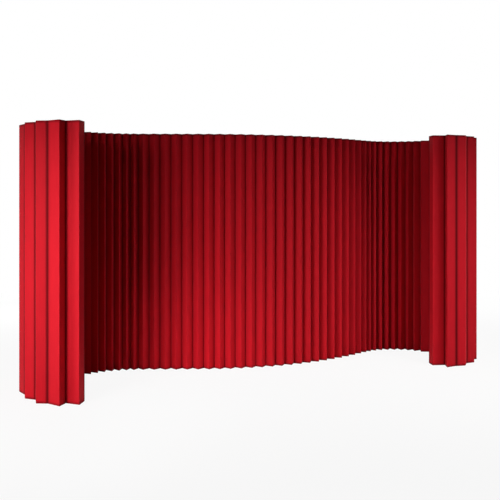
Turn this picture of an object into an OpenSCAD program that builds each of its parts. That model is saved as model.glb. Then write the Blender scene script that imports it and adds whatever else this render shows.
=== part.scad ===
// Free-standing accordion partition: one long pleated sheet whose stiff leaves
// stand on the floor, drawn out into an S with both ends curled to the front.
// Millimetres. X runs along the wall, +Y away from the viewer, +Z up.
// The origin lies on the floor under the middle of the whole plan.

/* [Wall] */
// Height of every leaf
wall_h = 1800; // [1200:50:2400]
// Scale of the plan: every length along the sheet and every leaf's width
plan_scale = 1; // [0.9:0.05:1.1]

/* [Leaves] */
// Width of a leaf in the main wall, crease to crease
leaf_w = 61; // [60:1:66]
// Width of a leaf in the curled ends, crease to crease
end_leaf_w = 87; // [84:1:92]
// Width of a leaf in the two straight runs behind the curls
run_leaf_w = 83; // [78:1:90]
// Thickness of a stiff leaf: a board between two textile skins
leaf_t = 2; // [1.6:0.1:2.4]
// Thickness of a link leaf: two textile skins bonded together
link_t = 1; // [0.8:0.1:1.2]
// Thickness of the board at each free end
end_board_t = 3; // [2:0.5:4]
// Bevel along the long edges of a stiff leaf
leaf_bevel = 0.5; // [0.2:0.1:0.7]
// Room left between two leaves at their crease
crease_gap = 0.4; // [0.3:0.1:0.8]
// Height of the link leaves above the floor
link_lift = 1; // [1:0.5:3]

/* [Left curl] */
// Length of the free tip, measured along the middle of the pleats
left_tip_len = 258; // [250:1:266]
// Turn of the free tip in degrees
left_tip_turn = 69; // [66:1:72]
// Length of the front of the curl
left_curl_len = 309; // [300:1:318]
// Turn of the front of the curl in degrees
left_curl_turn = 30; // [27:1:33]
// Length of the outer corner of the curl
left_corner_len = 304; // [298:1:310]
// Turn of the outer corner in degrees
left_corner_turn = 77; // [74:1:80]
// Length of the straight run back to the wall
left_run_len = 391; // [380:1:400]

/* [Main wall] */
// Length of the left hollow
left_hollow_len = 406; // [396:1:416]
// Turn of the left hollow in degrees
left_hollow_turn = 45; // [42:1:48]
// Length of the straight part beside the left hollow
straight_len = 503; // [490:1:516]
// Length of the long sweep to the back
sweep_len = 1472; // [1450:1:1490]
// Turn of the long sweep in degrees
sweep_turn = 46; // [43:1:48]
// Length of the right hollow
right_hollow_len = 582; // [570:1:594]
// Turn of the right hollow in degrees
right_hollow_turn = 87; // [84:1:90]

/* [Right curl] */
// Length of the straight run from the wall to the curl
right_run_len = 399; // [390:1:408]
// Length of the outer corner of the curl
right_corner_len = 108; // [104:1:112]
// Turn of the outer corner in degrees
right_corner_turn = 82; // [79:1:85]
// Length of the front of the curl
right_curl_len = 260; // [252:1:268]
// Turn of the front of the curl in degrees
right_curl_turn = 27; // [24:1:30]
// Length of the free tip
right_tip_len = 259; // [252:1:266]
// Turn of the free tip in degrees
right_tip_turn = 96; // [92:1:98]

/* [Hidden] */
// Heading of the sheet at its left free end, against +X
START_HEADING = 222.5;
// A nearly flat pleat still folds by at least this depth
LEAST_DEPTH = 18;
CORNER_LEAF_W = 104;
TEXTILE_RED = [0.74, 0.11, 0.15];

// Each stretch of the sheet, from the left free end to the right one:
// [length, turn to the left, number of leaves, leaf width]
STRETCHES = [
    [left_tip_len, -left_tip_turn, 4, end_leaf_w],
    [left_curl_len, -left_curl_turn, 4, end_leaf_w + 3],
    [left_corner_len, -left_corner_turn, 3, CORNER_LEAF_W],
    [left_run_len, 0, 6, run_leaf_w],
    [left_hollow_len, -left_hollow_turn, 14, leaf_w + 1],
    [straight_len, 0, 12, leaf_w],
    [sweep_len, sweep_turn, 36, leaf_w],
    [right_hollow_len, -right_hollow_turn, 19, leaf_w + 1],
    [right_run_len, 0, 6, run_leaf_w],
    [right_corner_len, -right_corner_turn, 2, end_leaf_w + 3],
    [right_curl_len, -right_curl_turn, 4, end_leaf_w],
    [right_tip_len, -right_tip_turn, 4, end_leaf_w - 5]
];

// One entry per leaf: [half pitch, turn, width]
LEAVES = [
    for (s = STRETCHES) for (k = [1:s[2]])
        [plan_scale * s[0] / s[2], s[1] / s[2], plan_scale * s[3]]
];
LAST = len(LEAVES);          // number of the last crease
MIDDLE = LAST / 2 - 1;       // the leaf from which both halves fold

// The straight line between the ends of an arc of this length and turn
function chord(length, turn) =
    turn == 0 ? length : 2 * length / (turn * PI / 180) * sin(turn / 2);

// The next station on the middle line: [x, y, heading]
function ahead(at, leaf) =
    let (c = chord(leaf[0], leaf[1]), way = at[2] + leaf[1] / 2)
    [at[0] + c * cos(way), at[1] + c * sin(way), at[2] + leaf[1]];

STATIONS = [
    for (i = 0, at = [0, 0, START_HEADING]; i <= LAST;
         at = i < LAST ? ahead(at, LEAVES[i]) : at, i = i + 1) at
];

// Depth of the pleats at crease i, from the leaves on both sides of it
function beside(i) = [LEAVES[max(i - 1, 0)], LEAVES[min(i, LAST - 1)]];
function mean(pair, n) = (pair[0][n] + pair[1][n]) / 2;
function depth(i) =
    let (w = mean(beside(i), 2), h = mean(beside(i), 0))
    sqrt(max(w * w - h * h, LEAST_DEPTH * LEAST_DEPTH));

// Both curls were closed by hand, so their creases stand off the even zigzag:
// [to the right, to the back], counted inwards from each free end
LEFT_PUSHED = [[-2, 9], [7, 2], [-10, 3], [33, -9], [-14, -20], [3, -11], [8, -12], [16, -4]];
RIGHT_PUSHED = [[2, 23], [12, 20], [30, 16], [-35, -7], [4, -32], [-4, -3], [18, -13], [2, 9]];
function pushed(i) =
    i < len(LEFT_PUSHED) ? LEFT_PUSHED[i] :
    LAST - i < len(RIGHT_PUSHED) ? RIGHT_PUSHED[LAST - i] : [0, 0];

// Crease i lies in front of the middle line when i is even, behind it when odd
LAID = [
    for (i = [0:LAST])
        let (at = STATIONS[i], off = (i % 2 == 0 ? 1 : -1) * depth(i) / 2)
        [at[0] + off * sin(at[2]), at[1] - off * cos(at[2])] + plan_scale * pushed(i)
];

// Angle between the two leaves that meet at crease i
function fold_angle(i) =
    let (a = LAID[i - 1] - LAID[i], b = LAID[i + 1] - LAID[i])
    acos((a * b) / (norm(a) * norm(b)));

// How far a leaf of thickness t ends before crease i, clear of its neighbour
function setback(i, t) =
    i == 0 || i == LAST ? 0 :
    let (half = fold_angle(i) / 2) (t / 2 * cos(half) + crease_gap / 2) / sin(half);

// Outline of leaf i in plan, with a bevel b on its four edges
function outline(i, t, b) =
    let (
        a = LAID[i], u = (LAID[i + 1] - a) / norm(LAID[i + 1] - a), n = [-u[1], u[0]],
        s0 = setback(i, t), s1 = norm(LAID[i + 1] - a) - setback(i + 1, t),
        corner = [
            [s0 + b, -t / 2], [s1 - b, -t / 2], [s1, -t / 2 + b], [s1, t / 2 - b],
            [s1 - b, t / 2], [s0 + b, t / 2], [s0, t / 2 - b], [s0, -t / 2 + b]
        ]
    )
    [for (c = corner) a + c[0] * u + c[1] * n];

// Stiff leaves are every second one, counted outwards from the middle pair
LEFT_STIFF = [for (i = [MIDDLE - 2:-2:2]) i];
RIGHT_STIFF = [for (i = [MIDDLE + 1:2:LAST - 3]) i];
LEFT_LINKS = [for (i = [1:2:MIDDLE - 1]) i];
RIGHT_LINKS = [for (i = [MIDDLE + 2:2:LAST - 2]) i];

// The middle of the whole plan, over every leaf's outline
OUTLINES = [
    for (i = [0:LAST - 1])
        each outline(i, i == 0 || i == LAST - 1 ? end_board_t : leaf_t, leaf_bevel)
];
PLAN_X = [for (p = OUTLINES) p[0]];
PLAN_Y = [for (p = OUTLINES) p[1]];
CENTRE = [max(PLAN_X) + min(PLAN_X), max(PLAN_Y) + min(PLAN_Y)] / 2;

module stiff_leaf(i, t) {
    color(TEXTILE_RED)
        translate(-CENTRE)
            linear_extrude(wall_h)
                polygon(outline(i, t, leaf_bevel));
}

module link_leaves(numbers) {
    color(TEXTILE_RED)
        translate([-CENTRE[0], -CENTRE[1], link_lift])
            linear_extrude(wall_h - link_lift)
                for (i = numbers)
                    polygon(outline(i, link_t, link_t / 4));
}

module middle_leaf() stiff_leaf(MIDDLE, leaf_t);
module left_leaf(k) stiff_leaf(LEFT_STIFF[k - 1], leaf_t);
module right_leaf(k) stiff_leaf(RIGHT_STIFF[k - 1], leaf_t);
module left_end_board() stiff_leaf(0, end_board_t);
module right_end_board() stiff_leaf(LAST - 1, end_board_t);
module left_link_leaves() link_leaves(LEFT_LINKS);
module right_link_leaves() link_leaves(RIGHT_LINKS);

middle_leaf();
for (k = [1:len(LEFT_STIFF)])
    left_leaf(k);
left_end_board();
for (k = [1:len(RIGHT_STIFF)])
    right_leaf(k);
right_end_board();
left_link_leaves();
right_link_leaves();
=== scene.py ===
# %% [markdown]
# # A free-standing accordion partition
#
# The real object is one long sheet of red textile, pleated like a paper fan and set
# on edge. Every second leaf of the fan is stiffened by a thin board; the leaf between
# two boards is cloth alone, so the whole wall can be drawn out, curved, or pushed
# together into a flat stack. Here it stands in a long S with both ends curled to the front.
#
# The construction model is loaded first and stays as it is. Each step below works out
# one thing on numpy arrays, prints what it found, and hands a finished surface to Blender.

import bpy
import numpy as np
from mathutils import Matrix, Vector


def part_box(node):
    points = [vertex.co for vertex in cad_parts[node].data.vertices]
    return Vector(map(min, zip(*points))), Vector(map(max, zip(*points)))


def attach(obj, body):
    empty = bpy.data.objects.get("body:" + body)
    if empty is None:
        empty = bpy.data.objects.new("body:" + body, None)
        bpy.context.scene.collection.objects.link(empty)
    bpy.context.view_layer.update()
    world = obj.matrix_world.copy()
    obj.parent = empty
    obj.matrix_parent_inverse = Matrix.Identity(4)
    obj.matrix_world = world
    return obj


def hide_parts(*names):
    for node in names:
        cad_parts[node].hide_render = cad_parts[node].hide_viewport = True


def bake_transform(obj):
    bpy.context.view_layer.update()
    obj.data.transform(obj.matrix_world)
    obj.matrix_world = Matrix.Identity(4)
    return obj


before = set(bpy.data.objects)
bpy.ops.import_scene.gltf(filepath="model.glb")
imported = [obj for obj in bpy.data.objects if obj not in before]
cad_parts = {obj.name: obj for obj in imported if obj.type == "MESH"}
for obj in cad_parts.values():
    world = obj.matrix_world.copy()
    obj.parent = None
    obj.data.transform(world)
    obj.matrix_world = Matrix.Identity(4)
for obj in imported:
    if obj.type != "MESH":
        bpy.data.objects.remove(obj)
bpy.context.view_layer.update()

# %% [markdown]
# ## The line the sheet follows on the floor
#
# Seen from above, the sheet zigzags about a smooth middle line. That line is a chain of
# straight runs and arcs, so a short table of length, turn and leaf count says all of it.
# Drawing it by hand would be quicker to start but could never agree with the
# construction to a tenth of a millimetre, which these leaves need to close at their creases.

# %% The table of stretches, and one row for each leaf
MM = 0.001
WALL_HEIGHT = 1.8
START_HEADING = 222.5        # degrees, at the left free end
LEAST_DEPTH = 18             # mm that even a nearly flat pleat folds by
# length in mm, turn to the left in degrees, leaves, width of a leaf in mm
STRETCHES = np.array([
    [258, -69, 4, 87], [309, -30, 4, 90], [304, -77, 3, 104], [391, 0, 6, 83],
    [406, -45, 14, 62], [503, 0, 12, 61], [1472, 46, 36, 61], [582, -87, 19, 62],
    [399, 0, 6, 83], [108, -82, 2, 90], [260, -27, 4, 87], [259, -96, 4, 82],
], float)

# both curls are closed by these nudges: [to the right, to the back] in mm for each crease,
# counted inwards from each free end
LEFT_PUSHED = np.array([
    [-2, 9], [7, 2], [-10, 3], [33, -9], [-14, -20], [3, -11], [8, -12], [16, -4]])
RIGHT_PUSHED = np.array([
    [2, 23], [12, 20], [30, 16], [-35, -7], [4, -32], [-4, -3], [18, -13], [2, 9]])

counts = STRETCHES[:, 2].astype(int)
half_pitch, turn, leaf_width = np.repeat(
    np.c_[STRETCHES[:, :2] / STRETCHES[:, 2:3], STRETCHES[:, 3]], counts, axis=0).T
LEAVES = len(turn)
MIDDLE = LEAVES // 2 - 1
number = np.arange(LEAVES)
print(LEAVES, "leaves; the one in the middle is number", MIDDLE)


# %% The creases, where leaf meets leaf
# a crease with an even number is a ridge on the front, an odd one on the back
outer_sign = np.where(np.arange(LEAVES + 1) % 2 == 0, 1.0, -1.0)


def stations_along(lengths, turns, start):
    """Points on the middle line. An arc of length L and turn a has the chord
    2 L/a sin(a/2), which leaves at half its turn; the points are the running sum."""
    bend = np.radians(turns)
    safe = np.where(bend == 0, 1, bend)
    chord = np.where(bend == 0, lengths, 2 * lengths / safe * np.sin(safe / 2))
    heading = np.radians(start) + np.r_[0, np.cumsum(bend)]
    way = heading[:-1] + bend / 2
    steps = chord[:, None] * np.c_[np.cos(way), np.sin(way)]
    return np.vstack([[0, 0], np.cumsum(steps, axis=0)]), heading


def zigzag(points, heading, pitch, width):
    """Crease i lies half the pleat's depth to the front (even i) or back (odd i) of the
    middle line. The depth is the other side of a right triangle whose long side is the
    leaf and whose short side is its half pitch."""
    before, after = np.r_[0, :LEAVES], np.r_[:LEAVES, LEAVES - 1]
    w, h = (width[before] + width[after]) / 2, (pitch[before] + pitch[after]) / 2
    depth = np.sqrt(np.maximum(w ** 2 - h ** 2, LEAST_DEPTH ** 2))
    to_front = np.c_[np.sin(heading), -np.cos(heading)]
    return points + (outer_sign * depth / 2)[:, None] * to_front


stations, heading = stations_along(half_pitch, turn, START_HEADING)
creases = zigzag(stations, heading, half_pitch, leaf_width)
creases[:len(LEFT_PUSHED)] += LEFT_PUSHED
creases[-len(RIGHT_PUSHED):] += RIGHT_PUSHED[::-1]
print("length along the middle line:", round(half_pitch.sum() * MM, 3), "m;",
      "cloth along the zigzag:", round(leaf_width.sum() * MM, 3), "m")

# %% [markdown]
# ## Where the construction put its origin
#
# The construction centres the plan on the box round all its boards. The same box is
# worked out here from the same rule, and then every board is compared with its own
# box in the loaded model. A difference above a few hundredths of a millimetre would
# mean that the table above is out of date.

# %% Board outlines, and the check against the loaded model
BOARD, END_BOARD = 2.0, 3.0              # thickness of a stiff leaf and of an end one, mm
CREASE_GAP, CORNER_BEVEL = 0.4, 0.5      # mm
leaf_dir = np.diff(creases, axis=0)
leaf_len = np.linalg.norm(leaf_dir, axis=1)
leaf_dir /= leaf_len[:, None]
leaf_front = np.c_[leaf_dir[:, 1], -leaf_dir[:, 0]]        # points to the front side
fold_angle = np.pi - np.arccos(np.sum(leaf_dir[:-1] * leaf_dir[1:], axis=1))

board_t = np.full(LEAVES, BOARD)
board_t[[0, -1]] = END_BOARD
half_fold = np.r_[np.nan, fold_angle / 2, np.nan]


def board_corners():
    """Each board stops short of its crease by (t/2 cos(h) + gap/2)/sin(h), h being half
    the angle between the leaves; a free end stops at the end of the sheet. Each corner
    is cut off by a bevel, so it gives two points."""
    ends = []
    for crease, sign in ((number, 1), (number + 1, -1)):
        h = half_fold[crease]
        back = np.nan_to_num((board_t / 2 * np.cos(h) + CREASE_GAP / 2) / np.sin(h))
        at = creases[crease] + sign * back[:, None] * leaf_dir
        thick = leaf_front * board_t[:, None] / 2
        along, across = sign * CORNER_BEVEL * leaf_dir, CORNER_BEVEL * leaf_front
        ends += [at + thick - across, at - thick + across,
                 at + thick + along, at - thick + along]
    return np.stack(ends, axis=1)


corners = board_corners()
centre = (corners.min(axis=(0, 1)) + corners.max(axis=(0, 1))) / 2
creases -= centre
corners -= centre


def body_name(leaf):
    """The body that a stiff leaf rides on, counted outwards from the middle."""
    if leaf == MIDDLE:
        return "middle_leaf"
    if leaf in (0, LEAVES - 1):
        return "left_end_board" if leaf == 0 else "right_end_board"
    if leaf < MIDDLE:
        return f"left_leaf_{(MIDDLE - leaf) // 2}"
    return f"right_leaf_{(leaf - MIDDLE + 1) // 2}"


# every second leaf, counted outwards from the middle two, which are both stiff
is_link = np.where(number < MIDDLE, number % 2 == 1, number % 2 == 0)
is_link[[MIDDLE, MIDDLE + 1]] = False
stiff = number[~is_link]
print(len(stiff), "stiff leaves and", int(is_link.sum()), "link leaves")
off = max(
    np.abs(np.array([corners[i].min(axis=0), corners[i].max(axis=0)]) * MM
           - np.array(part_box(body_name(i)))[:, :2]).max() for i in stiff)
print("largest difference from the construction:", round(off / MM, 4), "mm")

# %% [markdown]
# ## The section of a leaf
#
# A leaf's section is a long thin strip. Near a crease the board ends and only the two
# skins go on, one millimetre together, so a stiff leaf thins out over its last few
# millimetres. At the crease the inner skins meet in a sharp line, and the outer skin
# turns round that line at a constant distance, which is how a stiff cloth folds.
#
# Both leaves of a crease get their half of that turn from the same two numbers, so the
# seam between them is closed without any welding.

# %% Corners at each crease
FOLD_T = 1.0             # both skins together, in mm
ARC_STEPS = 5            # faces in half of a fold's outer turn
INNER_STEP = 0.12        # spacing of the points that face the turn on the inner side, mm
EDGE_FLAT = 0.12         # share of a free edge's quarter turn that stays flat

fold_front = leaf_front[:-1] + leaf_front[1:]
fold_front /= np.linalg.norm(fold_front, axis=1)[:, None]


def sweep_between(start, stop, steps):
    """Directions that turn evenly from start to stop. The whole angle has the tangent
    cross over dot; each direction is start, turned by its share of that angle."""
    angle = np.arctan2(start[0] * stop[1] - start[1] * stop[0], start @ stop)
    a = np.linspace(0, 1, steps + 1) * angle
    c, s = np.cos(a), np.sin(a)
    return np.c_[c * start[0] - s * start[1], s * start[0] + c * start[1]]


def inner_corner(crease):
    """The inner skins meet half a fold's thickness behind the crease, measured square
    to the leaves: t/2 / sin(h) along the line that halves the fold."""
    reach = FOLD_T / 2 / np.sin(half_fold[crease])
    return creases[crease] - outer_sign[crease] * fold_front[crease - 1] * reach


def half_turn(leaf, crease, into):
    """One end of a leaf, as points on its outer and inner side from the fold's middle
    inwards. The outer ones lie on a circle of radius t about the inner corner, from the
    halving line to square off the leaf. into is the direction from the crease into the leaf."""
    start = outer_sign[crease] * fold_front[crease - 1]
    stop = outer_sign[crease] * leaf_front[leaf]
    pivot = inner_corner(crease)
    outer = pivot + FOLD_T * sweep_between(start, stop, ARC_STEPS)
    inner = pivot + (np.arange(ARC_STEPS + 1) * INNER_STEP)[:, None] * into
    return outer, inner


def free_edge(leaf, crease, into):
    """The free edge of an end board: a half round of the board's own thickness."""
    r = board_t[leaf] / 2
    a = np.linspace(EDGE_FLAT, 1, ARC_STEPS + 1) * np.pi / 2
    run = ((1 - np.cos(a)) * r)[:, None] * into
    rise = (np.sin(a) * r)[:, None] * leaf_front[leaf]
    return creases[crease] + run + rise, creases[crease] + run - rise


print("the folds stand open by", round(float(np.degrees(fold_angle.min())), 1), "to",
      round(float(np.degrees(fold_angle.max())), 1), "degrees")

# %% The whole section, end to end
TAPER = np.array([1.8, 2.6, 5.5, 7.0])       # mm from the end; the board starts in between
RISE = np.array([0.0, 0.12, 0.88, 1.0])      # share of the board's extra thickness there


def half_thickness(leaf, rise):
    """Half of the skins' thickness plus the given shares of what the board adds to it."""
    return (FOLD_T + rise * (board_t[leaf] - FOLD_T)) / 2


def leaf_section(leaf):
    """Points (side, station, xy) in mm: side 0 is the front skin, side 1 the back skin.
    The middle stations lie at half a thickness that climbs from the skins' to the board's."""
    flats = []
    for crease, into in ((leaf, leaf_dir[leaf]), (leaf + 1, -leaf_dir[leaf])):
        free_end = crease in (0, LEAVES)
        if free_end:
            front, back = free_edge(leaf, crease, into)
        else:
            outer, inner = half_turn(leaf, crease, into)
            front, back = (outer, inner) if outer_sign[crease] > 0 else (inner, outer)
        if not is_link[leaf]:
            half = half_thickness(leaf, np.ones(len(RISE)) if free_end else RISE)
            thick = half[:, None] * leaf_front[leaf]
            at = creases[crease] + TAPER[:, None] * into
            front, back = np.vstack([front, at + thick]), np.vstack([back, at - thick])
        flats.append((front, back))
    (f0, b0), (f1, b1) = flats
    return np.stack([np.vstack([f0, f1[::-1]]), np.vstack([b0, b1[::-1]])])


sample = leaf_section(MIDDLE)
print("a stiff leaf's section has", sample.shape[1], "stations on each side; a link leaf's has",
      leaf_section(MIDDLE - 1).shape[1])

# %% [markdown]
# ## From section to surface
#
# The section is carried up the height. The top and bottom edges are cut, pressed and
# a little rounded, so the two outermost rows are drawn in by a fraction of a
# millimetre. The result is one closed grid: a ring of stations times a column of
# heights, plus a strip of faces at the top and at the bottom.

# %% Carry a section up the wall
EDGE_RISE = 0.0006       # m from a cut edge to the first full row
EDGE_INSET = 0.25        # share of the half thickness that is drawn in at the edge
LINK_LIFT = 0.001        # m from the floor to a link leaf
ROWS = 10                # full rows from bottom to top


def heights(low, high):
    """Rows close together at both cut edges, even between them."""
    inner = np.linspace(low + EDGE_RISE, high - EDGE_RISE, ROWS)
    return np.r_[low, inner, high]


def leaf_grid(section, z):
    """Ring times height. The ring runs along the front and back along the back skin;
    at the first and last height both skins come closer by EDGE_INSET."""
    front, back = section * MM
    middle = (front + back) / 2
    inset = np.zeros(len(z))
    inset[[0, -1]] = EDGE_INSET
    f = front + inset[:, None, None] * (middle - front)
    b = back + inset[:, None, None] * (middle - back)
    ring = np.concatenate([f, b[:, ::-1]], axis=1)
    tall = np.broadcast_to(z[:, None, None], ring.shape[:2] + (1,))
    return np.concatenate([ring, tall], axis=2)


def grid_faces(rows, ring):
    """Quads of a closed tube, then the strips that cap it: at each end, station k of
    the front is joined to its partner on the back, which is ring - 1 - k."""
    r, k = np.meshgrid(np.arange(rows - 1), np.arange(ring), indexing="ij")
    n = (k + 1) % ring
    wall = np.stack([r * ring + k, r * ring + n, (r + 1) * ring + n, (r + 1) * ring + k], -1)
    s = np.arange(ring // 2 - 1)
    cap = np.stack([s, ring - 1 - s, ring - 2 - s, s + 1], -1)
    top = cap[:, ::-1] + (rows - 1) * ring
    return np.concatenate([wall.reshape(-1, 4), cap, top])


print("each leaf has", len(heights(0, WALL_HEIGHT)), "rows of points, the first full one",
      round(EDGE_RISE / MM, 2), "mm up")

# %% Put numpy arrays into a mesh
def new_mesh(name, points, faces):
    """points is n x 3 in metres, faces m x 4 point numbers."""
    mesh = bpy.data.meshes.new(name)
    mesh.vertices.add(len(points))
    mesh.vertices.foreach_set("co", points.astype(np.float32).ravel())
    mesh.loops.add(faces.size)
    mesh.loops.foreach_set("vertex_index", faces.astype(np.int32).ravel())
    mesh.polygons.add(len(faces))
    starts = np.arange(0, faces.size, faces.shape[1], dtype=np.int32)
    mesh.polygons.foreach_set("loop_start", starts)
    mesh.update(calc_edges=True)
    mesh.validate()
    obj = bpy.data.objects.new(name, mesh)
    bpy.context.scene.collection.objects.link(obj)
    return obj


def set_uv(mesh, name, values):
    """values is one pair for each vertex; a UV map keeps one for each face corner."""
    layer = mesh.uv_layers.new(name=name)
    corner = np.empty(len(mesh.loops), np.int32)
    mesh.loops.foreach_get("vertex_index", corner)
    layer.data.foreach_set("uv", values[corner].astype(np.float32).ravel())


# %% [markdown]
# ## Three maps for the cloth
#
# The finish needs to know where it is on the sheet. One UV map, Cloth, holds metres
# along the sheet and metres up it, so the fibres run on from leaf to leaf. Another,
# Fold, holds the distance to the ridge and to the valley of that side. A number for
# each leaf, tone, lets neighbouring leaves differ a little, as pressed leaves do.

# %% A section as a finished piece of cloth
SMOOTH_BELOW = 32        # degrees between two faces; above that, the edge stays sharp

along_start = np.r_[0, np.cumsum(leaf_width)] * MM
tones = np.random.default_rng(7).uniform(0, 1, LEAVES)


def ring_order(front, back):
    """Values of both skins in the order of the ring: front, then back from its end."""
    return np.r_[front, back[::-1]]


def cloth_piece(name, section, low, leaf, run, to_ridge):
    """A section carried up from low to the top. run and to_ridge are metres, one for each
    point of the ring; the valley is the leaf's width less the distance to the ridge."""
    z = heights(low, WALL_HEIGHT)
    grid = leaf_grid(section, z)
    rows, ring = grid.shape[:2]
    obj = new_mesh(name, grid.reshape(-1, 3), grid_faces(rows, ring))
    to_valley = leaf_len[leaf] * MM - to_ridge
    set_uv(obj.data, "Cloth",
           np.c_[np.tile(along_start[leaf] + run, rows), np.repeat(z, ring)])
    set_uv(obj.data, "Fold", np.c_[np.tile(to_ridge, rows), np.tile(to_valley, rows)])
    tone = obj.data.attributes.new("tone", "FLOAT", "POINT")
    tone.data.foreach_set("value", np.full(rows * ring, tones[leaf], np.float32))
    obj.data.shade_smooth()
    obj.data.set_sharp_from_angle(angle=np.radians(SMOOTH_BELOW))
    return obj


def leaf_piece(leaf, name):
    """One leaf. The ridge of its front skin is at the crease where that skin is outside,
    and the ridge of its back skin at the other one."""
    section = leaf_section(leaf)
    run = np.clip((section - creases[leaf]) @ leaf_dir[leaf], 0, leaf_len[leaf]) * MM
    rest = leaf_len[leaf] * MM - run
    ridges = (run[0], rest[1]) if outer_sign[leaf] > 0 else (rest[0], run[1])
    low = LINK_LIFT if is_link[leaf] else 0.0
    return cloth_piece(name, section, low, leaf, ring_order(*run), ring_order(*ridges))


print("the cloth along the sheet starts at 0 and ends at", round(along_start[-1], 3), "m")

# %% The stiff leaves
stiff_pieces = {}
for i in stiff:
    body = body_name(i)
    piece = leaf_piece(i, f"{body}_cover")
    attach(piece, body)
    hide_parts(body)
    stiff_pieces[int(i)] = piece
print(len(stiff_pieces), "stiff leaves,", len(piece.data.polygons), "faces in the last")

# %% [markdown]
# ## The link leaves
#
# A link leaf is the cloth between two boards. In the motion model the two boards move
# and the cloth has to follow both. Its points sit only at its two creases, and the
# leaf between them is flat; here each piece is left where it stands, tied to neither board.

# %% The link leaves, each between its two boards
link_pieces = {}
for i in number[is_link]:
    start, stop = (i + 1, i) if i < MIDDLE else (i, i + 1)
    side = "left" if i < MIDDLE else "right"
    piece = leaf_piece(i, f"{side}_link_{(abs(MIDDLE - i) + 1) // 2}")
    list(creases[start] * MM)
    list(creases[stop] * MM)
    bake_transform(piece)
    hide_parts(f"{side}_link_leaves")
    link_pieces[int(i)] = piece
print(len(link_pieces), "link leaves, each a sheet about",
      round(float(np.median(leaf_len[is_link])), 1), "mm wide")

# %% [markdown]
# ## The strip over the middle crease
#
# The two leaves in the middle both carry a board, so at their crease two rigid bodies
# meet with no link leaf between. The cloth that runs over this one fold is a piece of
# its own, a narrow strip that lies on the outer side over the ends of both boards and is
# left where it stands. Without it, the outer turn would split open when the wall is
# pushed together.

# %% One strip, bent round the middle crease
STRIP_OUT, STRIP_IN = 0.10, -0.30      # its two sides against the skins' outer side, mm
STRIP_TAPER = 3                        # of the taper's four points, those that it covers


def strip_section(crease):
    """A layer that follows the skins at a constant distance: down one leaf's taper,
    round the inner corner, up the next leaf's taper. Both sides of the layer have the
    same corner, so it is equally thick everywhere."""
    side = outer_sign[crease]
    around = sweep_between(
        side * leaf_front[crease - 1], side * leaf_front[crease], 2 * ARC_STEPS)
    layers = []
    for offset in (STRIP_IN, STRIP_OUT):
        flats = []
        for leaf, into in ((crease - 1, -leaf_dir[crease - 1]), (crease, leaf_dir[crease])):
            out = half_thickness(leaf, RISE[:STRIP_TAPER]) + offset
            at = creases[crease] + TAPER[:STRIP_TAPER, None] * into
            flats.append(at + side * out[:, None] * leaf_front[leaf])
        turn_round = inner_corner(crease) + (FOLD_T + offset) * around
        layers.append(np.vstack([flats[0][::-1], turn_round, flats[1]]))
    return np.stack(layers if side < 0 else layers[::-1])


def strip_piece(crease, name):
    """The strip, its width along its path, and that path, which is the back layer: at
    an odd crease the back is the outer side. The ridge is half-way."""
    section = strip_section(crease)
    path = section[1]
    run = np.r_[0, np.cumsum(np.linalg.norm(np.diff(path, axis=0), axis=1))] * MM
    to_ridge = np.abs(run - run[-1] / 2)
    obj = cloth_piece(name, section, 0.0, crease,
                      ring_order(run, run), ring_order(to_ridge, to_ridge))
    return obj, run[-1], path


strip, strip_width, strip_path = strip_piece(MIDDLE + 1, "middle_crease_strip")
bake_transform(strip)
print("the strip is", round(float(strip_width) / MM, 2), "mm wide")

# %% [markdown]
# ## Shader maths as sums
#
# A node tree is easier to read as an expression. The class below wraps a socket, so
# that 1 - mask * 0.2 adds its Math nodes by itself; colours go through Mix nodes.


# %% A small writer for node trees
class Value:
    """A number socket that can be used in sums."""

    def __init__(self, tree, socket):
        self.tree, self.socket = tree, socket

    def _maths(self, operation, a, b):
        return self.tree.add("ShaderNodeMath", {"operation": operation}, {0: a, 1: b})

    def __add__(self, other): return self._maths("ADD", self, other)
    def __radd__(self, other): return self._maths("ADD", other, self)
    def __sub__(self, other): return self._maths("SUBTRACT", self, other)
    def __rsub__(self, other): return self._maths("SUBTRACT", other, self)
    def __mul__(self, other): return self._maths("MULTIPLY", self, other)
    def larger(self, other): return self._maths("MAXIMUM", self, other)


class Tree:
    """The nodes of a material or of the world."""

    def __init__(self, owner):
        self.owner = owner
        owner.use_nodes = True
        self.nodes, self.links = owner.node_tree.nodes, owner.node_tree.links
        self.nodes.clear()

    def add(self, kind, settings=None, inputs=None, out=0):
        """Makes a node from its type, its settings and its inputs. out is the output
        to return, or a list of them."""
        node = self.nodes.new(kind)
        for key, value in (settings or {}).items():
            setattr(node, key, value)
        for key, value in (inputs or {}).items():
            socket = node.inputs[key]
            if isinstance(value, Value):
                self.links.new(value.socket, socket)
            else:
                socket.default_value = value
        if isinstance(out, list):
            return [Value(self, node.outputs[key]) for key in out]
        return Value(self, node.outputs[out])

    def span(self, value, low, high, to_low=0.0, to_high=1.0):
        """A soft step: to_low below low, to_high above high."""
        return self.add("ShaderNodeMapRange", {"interpolation_type": "SMOOTHSTEP"},
                        {"Value": value, "From Min": low, "From Max": high,
                         "To Min": to_low, "To Max": to_high})

    def noise(self, vector, x, y, scale, detail, rough):
        """Noise on a vector that is first stretched by x and y."""
        place = self.add("ShaderNodeMapping", {}, {"Vector": vector, "Scale": (x, y, 1.0)})
        return self.add("ShaderNodeTexNoise", {}, {
            "Vector": place, "Scale": scale, "Detail": detail, "Roughness": rough})

    def mix(self, factor, a, b):
        """A colour mix: inputs 0, 6 and 7 are its factor and colours, output 2 its result."""
        return self.add("ShaderNodeMix", {"data_type": "RGBA"}, {0: factor, 6: a, 7: b}, out=2)

    def finish(self, shader):
        """Joins the shader to the output of the material or world."""
        kind = "World" if isinstance(self.owner, bpy.types.World) else "Material"
        out = self.nodes.new("ShaderNodeOutput" + kind)
        self.links.new(shader.socket, out.inputs["Surface"])
        return self.owner
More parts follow.
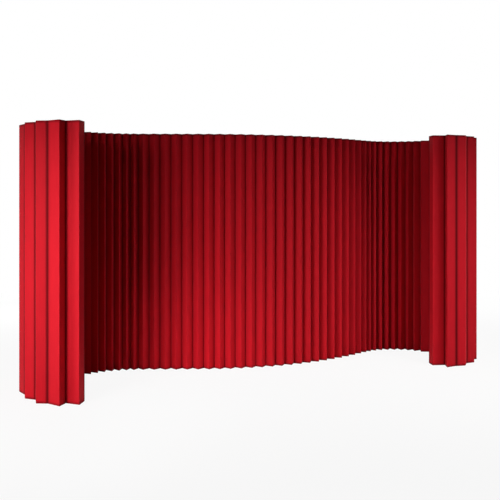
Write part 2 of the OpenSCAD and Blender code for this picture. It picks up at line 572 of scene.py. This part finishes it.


# %% [markdown]
# ## The red textile
#
# The cloth is a dense, matte, non-woven felt, pressed flat. From a step away it is one
# even red; close up it shows short crossed fibres, faint upright streaks and slight
# clouds where the pressing was uneven, and ridges rubbed a little lighter. Painted shade
# darkens the valleys, most of all those of the wide leaves in the two curls, and the
# colour is also darker along the top and bottom edges.

# %% Its colours and measures
def linear(r, g, b):
    """An sRGB colour, 0 to 255, as the linear values that the shader works in, by the
    standard curve: a short straight start, then a power of 2.4."""
    c = np.array([r, g, b]) / 255
    return (*np.where(c <= 0.04045, c / 12.92, ((c + 0.055) / 1.055) ** 2.4), 1.0)


RED = linear(206, 27, 40)
DEEP_RED = linear(178, 18, 32)
RUBBED_RED = linear(222, 62, 68)
# the darkest red: painted shade in the valleys, and the darker top and bottom edges
VALLEY_SHADE_AND_EDGE_RED = linear(96, 4, 12)

# noise: stretch along the sheet and up it, features in a metre, detail, roughness; 0.5
# is the middle of its values, which is taken off before it shades the colour
CLOUDS = (1, 0.35, 26, 3, 0.5)
STREAKS = (1, 0.025, 210, 3, 0.6)
FIBRES_UP = (1, 0.16, 1500, 2, 0.6)
FIBRES_ACROSS = (0.2, 1, 1300, 2, 0.6)
RUBBING = (1, 1, 60, 3, 0.5)
RUBBED_FROM, RUBBED_FULL = 0.45, 0.7     # values of that noise where rubbing sets in

# metres
RIDGE_WIDTH = 0.0022                     # rubbed part beside a ridge
VALLEY_SHADE_START, VALLEY_SHADE_WIDTH = 0.001, 0.009    # painted shade: darkest part of a valley
WIDE_LEAF_SHADE_WIDTH = 0.012                   # what a wide leaf adds to that width
WIDE_FROM, WIDE_FULL = 0.066, 0.078      # width at which a leaf counts as wide
SLOPE_SHADE_WIDTH = 0.045                      # faint painted shade on the way into a valley
DARK_EDGE_FULL, DARK_EDGE_WIDTH = 0.005, 0.021   # darker top and bottom edges

# how far each thing moves the colour towards the deeper or the rubbed red
BASE, CLOUD_SHARE, FIBRE_SHARE, STREAK_SHARE, TONE_SHARE = 0.25, 0.35, 0.5, 0.7, 0.22
VALLEY_SHADE_SHARE, WIDE_VALLEY_SHADE_SHARE = 0.58, 0.3      # a wide leaf's painted valley shade is darker by the second
SLOPE_SHADE_SHARE, WIDE_SLOPE_SHADE_SHARE = 0.25, 0.15   # a wide leaf's painted slope shade is fainter by the second
DARK_EDGE_SHARE, RUBBED_SHARE = 0.6, 0.2

BUMP_DEPTH, BUMP_STRENGTH = 0.0003, 0.35     # m, share
CLOUD_HEIGHT, STREAK_HEIGHT = 0.6, 0.8       # against the fibres' height of 1
ROUGHNESS, FIBRE_ROUGHNESS, RUBBED_POLISH = 0.66, 0.3, 0.08
print("reds, in linear values:", [[round(float(v), 3) for v in colour[:3]]
                                  for colour in (RED, DEEP_RED, RUBBED_RED, VALLEY_SHADE_AND_EDGE_RED)])


# %% Build the textile
def textile(name):
    t = Tree(bpy.data.materials.new(name))
    cloth = t.add("ShaderNodeUVMap", {"uv_map": "Cloth"})
    height = t.add("ShaderNodeSeparateXYZ", {}, {0: cloth}, out="Y")
    fold = t.add("ShaderNodeUVMap", {"uv_map": "Fold"})
    ridge, valley = t.add("ShaderNodeSeparateXYZ", {}, {0: fold}, out=["X", "Y"])
    tone = t.add("ShaderNodeAttribute", {"attribute_name": "tone"}, out="Fac")

    clouds, streaks = t.noise(cloth, *CLOUDS), t.noise(cloth, *STREAKS)
    fibres = (t.noise(cloth, *FIBRES_UP) + t.noise(cloth, *FIBRES_ACROSS)) * 0.5
    rubbing = t.span(t.noise(cloth, *RUBBING), RUBBED_FROM, RUBBED_FULL)
    worn = t.span(ridge, 0.0, RIDGE_WIDTH, 1.0, 0.0) * rubbing
    wide = t.span(ridge + valley, WIDE_FROM, WIDE_FULL)
    valley_shade = t.span(valley, VALLEY_SHADE_START, VALLEY_SHADE_WIDTH + wide * WIDE_LEAF_SHADE_WIDTH, 1.0, 0.0)
    slope_shade = t.span(valley, 0.0, SLOPE_SHADE_WIDTH, 1.0, 0.0)
    # the colour gets darker towards the bottom and top edges
    bottom = t.span(height, DARK_EDGE_FULL, DARK_EDGE_WIDTH, 1.0, 0.0)
    top = t.span(height, WALL_HEIGHT - DARK_EDGE_WIDTH, WALL_HEIGHT - DARK_EDGE_FULL)

    shade = ((clouds - 0.5) * CLOUD_SHARE + (fibres - 0.5) * FIBRE_SHARE
             + (streaks - 0.5) * STREAK_SHARE + (tone - 0.5) * TONE_SHARE + BASE)
    # painted shade: the colour darkens towards each valley, most in the wide leaves of the
    # curls
    painted_shade = (valley_shade * (VALLEY_SHADE_SHARE + wide * WIDE_VALLEY_SHADE_SHARE)
            + slope_shade * (SLOPE_SHADE_SHARE - wide * WIDE_SLOPE_SHADE_SHARE))
    colour = t.mix(shade, RED, DEEP_RED)
    colour = t.mix(painted_shade, colour, VALLEY_SHADE_AND_EDGE_RED)
    colour = t.mix((bottom + top) * DARK_EDGE_SHARE, colour, VALLEY_SHADE_AND_EDGE_RED)
    colour = t.mix(worn * RUBBED_SHARE, colour, RUBBED_RED)
    bump = t.add("ShaderNodeBump", {}, {
        "Strength": BUMP_STRENGTH, "Distance": BUMP_DEPTH,
        "Height": fibres + clouds * CLOUD_HEIGHT + streaks * STREAK_HEIGHT})
    rough = ROUGHNESS + (fibres - 0.5) * FIBRE_ROUGHNESS - worn * RUBBED_POLISH
    return t.finish(t.add("ShaderNodeBsdfPrincipled", {}, {
        "Base Color": colour, "Roughness": rough, "Normal": bump,
        "Specular IOR Level": 0.06, "Sheen Weight": 0.04, "Sheen Roughness": 0.45,
        "Sheen Tint": (1.0, 0.25, 0.25, 1.0)}))


leaf_textile = textile("pressed_red_textile")
covered = [*stiff_pieces.values(), *link_pieces.values(), strip]
for piece in covered:
    piece.data.materials.append(leaf_textile)
print("textile on", len(covered), "pieces")

# %% [markdown]
# ## Floor, light and camera
#
# The photograph shows the partition on plain white, lit softly from low on the left, so
# that both curls stand out and the two hollows behind them stay dark. A small lamp close
# to the floor adds the pool of light at the foot of the wall's left half. The floor is a
# pale sheet that looks white to the camera and still takes a faint shadow of the object;
# far away it is plain white, so that no horizon shows. Two more lamps behind the wall
# keep its back as readable as its front.

# %% A pale floor
SHADOW_SHARE = 0.08          # how much of the lit floor the camera sees under the white
NEAR, FAR = 2.4, 5.5         # metres from the middle over which that share runs out
FLOOR_SIDE = 60.0            # m
FLOOR_GREY, WHITE = (0.9, 0.9, 0.9, 1.0), (1.0, 1.0, 1.0, 1.0)


def background_rays(t):
    """1 for rays that show the background: the camera's, reflected and refracted ones."""
    camera_ray, glossy, refracted = t.add("ShaderNodeLightPath", out=[
        "Is Camera Ray", "Is Glossy Ray", "Is Transmission Ray"])
    return camera_ray.larger(glossy).larger(refracted)


def floor_material(name):
    t = Tree(bpy.data.materials.new(name))
    place = t.add("ShaderNodeTexCoord", out="Object")
    reach = t.add("ShaderNodeVectorMath", {"operation": "LENGTH"}, {0: place}, out="Value")
    white_share = t.span(reach, NEAR, FAR, 1 - SHADOW_SHARE, 1.0)
    matte = t.add("ShaderNodeBsdfDiffuse", {}, {"Color": FLOOR_GREY})
    white = t.add("ShaderNodeEmission", {}, {"Color": WHITE, "Strength": 1.0})
    share = background_rays(t) * white_share
    return t.finish(t.add("ShaderNodeMixShader", {}, {0: share, 1: matte, 2: white}))


floor_corners = np.array([[-1, -1, 0], [1, -1, 0], [1, 1, 0], [-1, 1, 0]]) * FLOOR_SIDE / 2
floor = new_mesh("floor", floor_corners, np.array([[0, 1, 2, 3]]))
floor.data.materials.append(floor_material("pale_floor"))
print("a floor", FLOOR_SIDE, "m wide, plain white from", FAR, "m on")

# %% The air around
AIR_LIGHT = 0.03             # strength of the even light from all sides


def studio_air(name):
    t = Tree(bpy.data.worlds.new(name))
    air = t.add("ShaderNodeBackground", {}, {"Color": WHITE, "Strength": AIR_LIGHT})
    backdrop = t.add("ShaderNodeBackground", {}, {"Color": WHITE, "Strength": 1.0})
    return t.finish(
        t.add("ShaderNodeMixShader", {}, {0: background_rays(t), 1: air, 2: backdrop}))


scene = bpy.context.scene
scene.world = studio_air("studio")
print("even light of strength", AIR_LIGHT, "under a white backdrop")

# %% Lamps
# name, place, what it points at, side of the square lamp in m, power in W, spread in degrees
LAMPS = [
    ("low_left", (-4.5, -2.5, 0.35), (0.0, 0.2, 0.8), 0.8, 47, 180),
    ("front_left", (-2.4, -3.2, 1.6), (-0.2, 0.3, 0.2), 1.2, 13, 66),
    ("low_pool", (-0.9, -2.6, 0.35), (-0.45, 0.35, 0.03), 0.5, 0.9, 34),
    ("high_right", (2.4, -1.5, 2.6), (1.5, -0.4, 0.7), 0.6, 4.5, 70),
    ("far_right", (3.8, -2.2, 2.4), (1.4, -0.4, 0.9), 0.8, 4.5, 60),
    ("low_right", (3.6, -0.8, 0.8), (0.6, 0.2, 0.5), 0.8, 4, 120),
    ("back_left", (-3.4, 3.6, 1.2), (-0.4, 0.4, 0.8), 1.2, 62, 140),
    ("back_right", (3.4, 4.0, 1.6), (0.6, 0.6, 0.8), 1.2, 40, 140),
]


def square_lamp(name, place, target, side, power, spread):
    lamp = bpy.data.lights.new(name, "AREA")
    lamp.size, lamp.energy, lamp.spread = side, power, np.radians(spread)
    obj = bpy.data.objects.new(name, lamp)
    obj.location = place
    aim = Vector(target) - Vector(place)
    obj.rotation_euler = aim.to_track_quat("-Z", "Y").to_euler()
    obj.visible_camera = False
    scene.collection.objects.link(obj)


for row in LAMPS:
    square_lamp(*row)
print(len(LAMPS), "lamps,", round(sum(row[4] for row in LAMPS), 1), "W together")

# %% Camera, placed from the photograph's own perspective
CAMERA_PLACE = (-0.1406, -5.349, 1.296)          # m
LENS, SENSOR, SHIFT_DOWN = 51.44, 36.0, 0.1006   # mm, mm, share of the picture's width

camera = bpy.data.objects.new("camera", bpy.data.cameras.new("camera"))
camera.location = CAMERA_PLACE
camera.rotation_euler = (np.pi / 2, 0, 0)        # level, looking along +Y
camera.data.lens, camera.data.sensor_width = LENS, SENSOR
camera.data.shift_y = -SHIFT_DOWN
scene.collection.objects.link(camera)
scene.camera = camera
scene.view_settings.view_transform = "Standard"
print("camera", round(float(np.linalg.norm(CAMERA_PLACE)), 2), "m from the origin")
